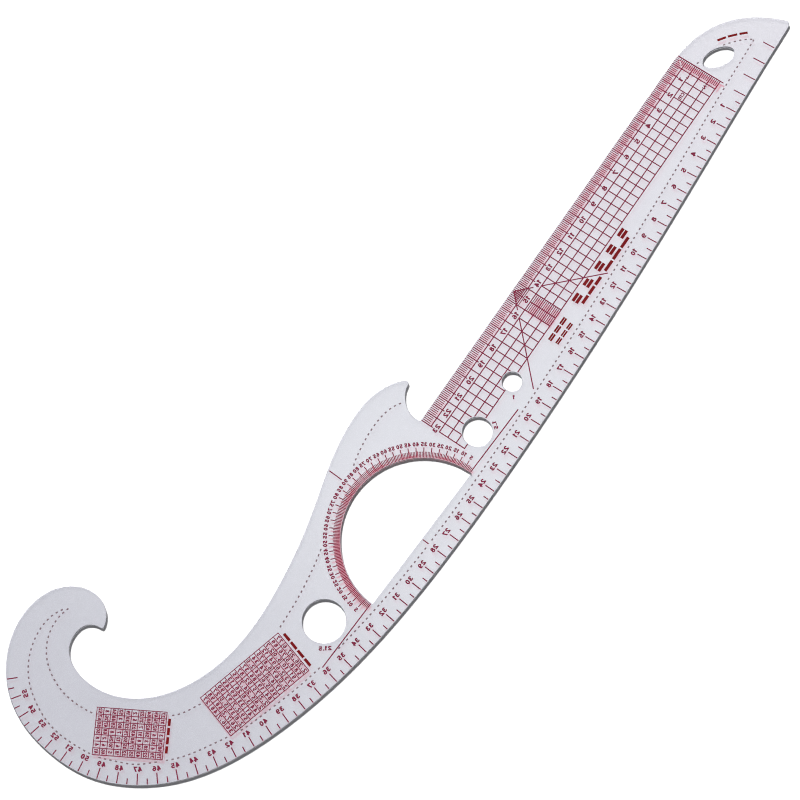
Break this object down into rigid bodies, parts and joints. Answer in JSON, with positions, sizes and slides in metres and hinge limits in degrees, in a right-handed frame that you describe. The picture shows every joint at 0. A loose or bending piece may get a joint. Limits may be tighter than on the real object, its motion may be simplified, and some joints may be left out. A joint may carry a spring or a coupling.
{
  "type": "french curve",
  "caption": "Flat clear plastic french curve with a hook end, straight scale, long curved scale, half-disc protractor window, drawing holes and an oval hanging hole.",
  "frame": {"origin": "centre of the bounding box, on the underside of the sheet", "axes": "+X along the straight edge towards the hooked end, +Y from the straight edge towards the long convex edge, +Z out of the printed face. The print is on the back of the sheet, so it reads correctly through the sheet from below and is mirrored seen from +Z."},
  "size_m": [0.5115, 0.1568, 0.0015],
  "materials": {
    "clear_sheet": "glossy, slightly milky clear acrylic with square cut edges",
    "red_ink": "matt screen-printed ink film"
  },
  "bodies": {
    "root": {"blade_sheet": "clear_sheet", "ink_curved_scale_ticks": "red_ink", "ink_curved_scale_numerals": "red_ink", "ink_straight_scale_mm_ticks": "red_ink", "ink_straight_scale_grid": "red_ink", "ink_straight_scale_numerals": "red_ink", "ink_end_scale_ticks": "red_ink", "ink_end_scale_numerals": "red_ink", "ink_centre_ladder": "red_ink", "ink_protractor_ticks": "red_ink", "ink_protractor_numerals": "red_ink", "ink_protractor_base_line": "red_ink", "ink_outer_dashed_line": "red_ink", "ink_inner_dashed_line": "red_ink", "ink_table_one_rules": "red_ink", "ink_table_one_numbers": "red_ink", "ink_table_two_rules": "red_ink", "ink_table_two_numbers": "red_ink", "ink_hole_size_numerals": "red_ink", "ink_plain_title_bars": "red_ink"}
  },
  "joints": []
}
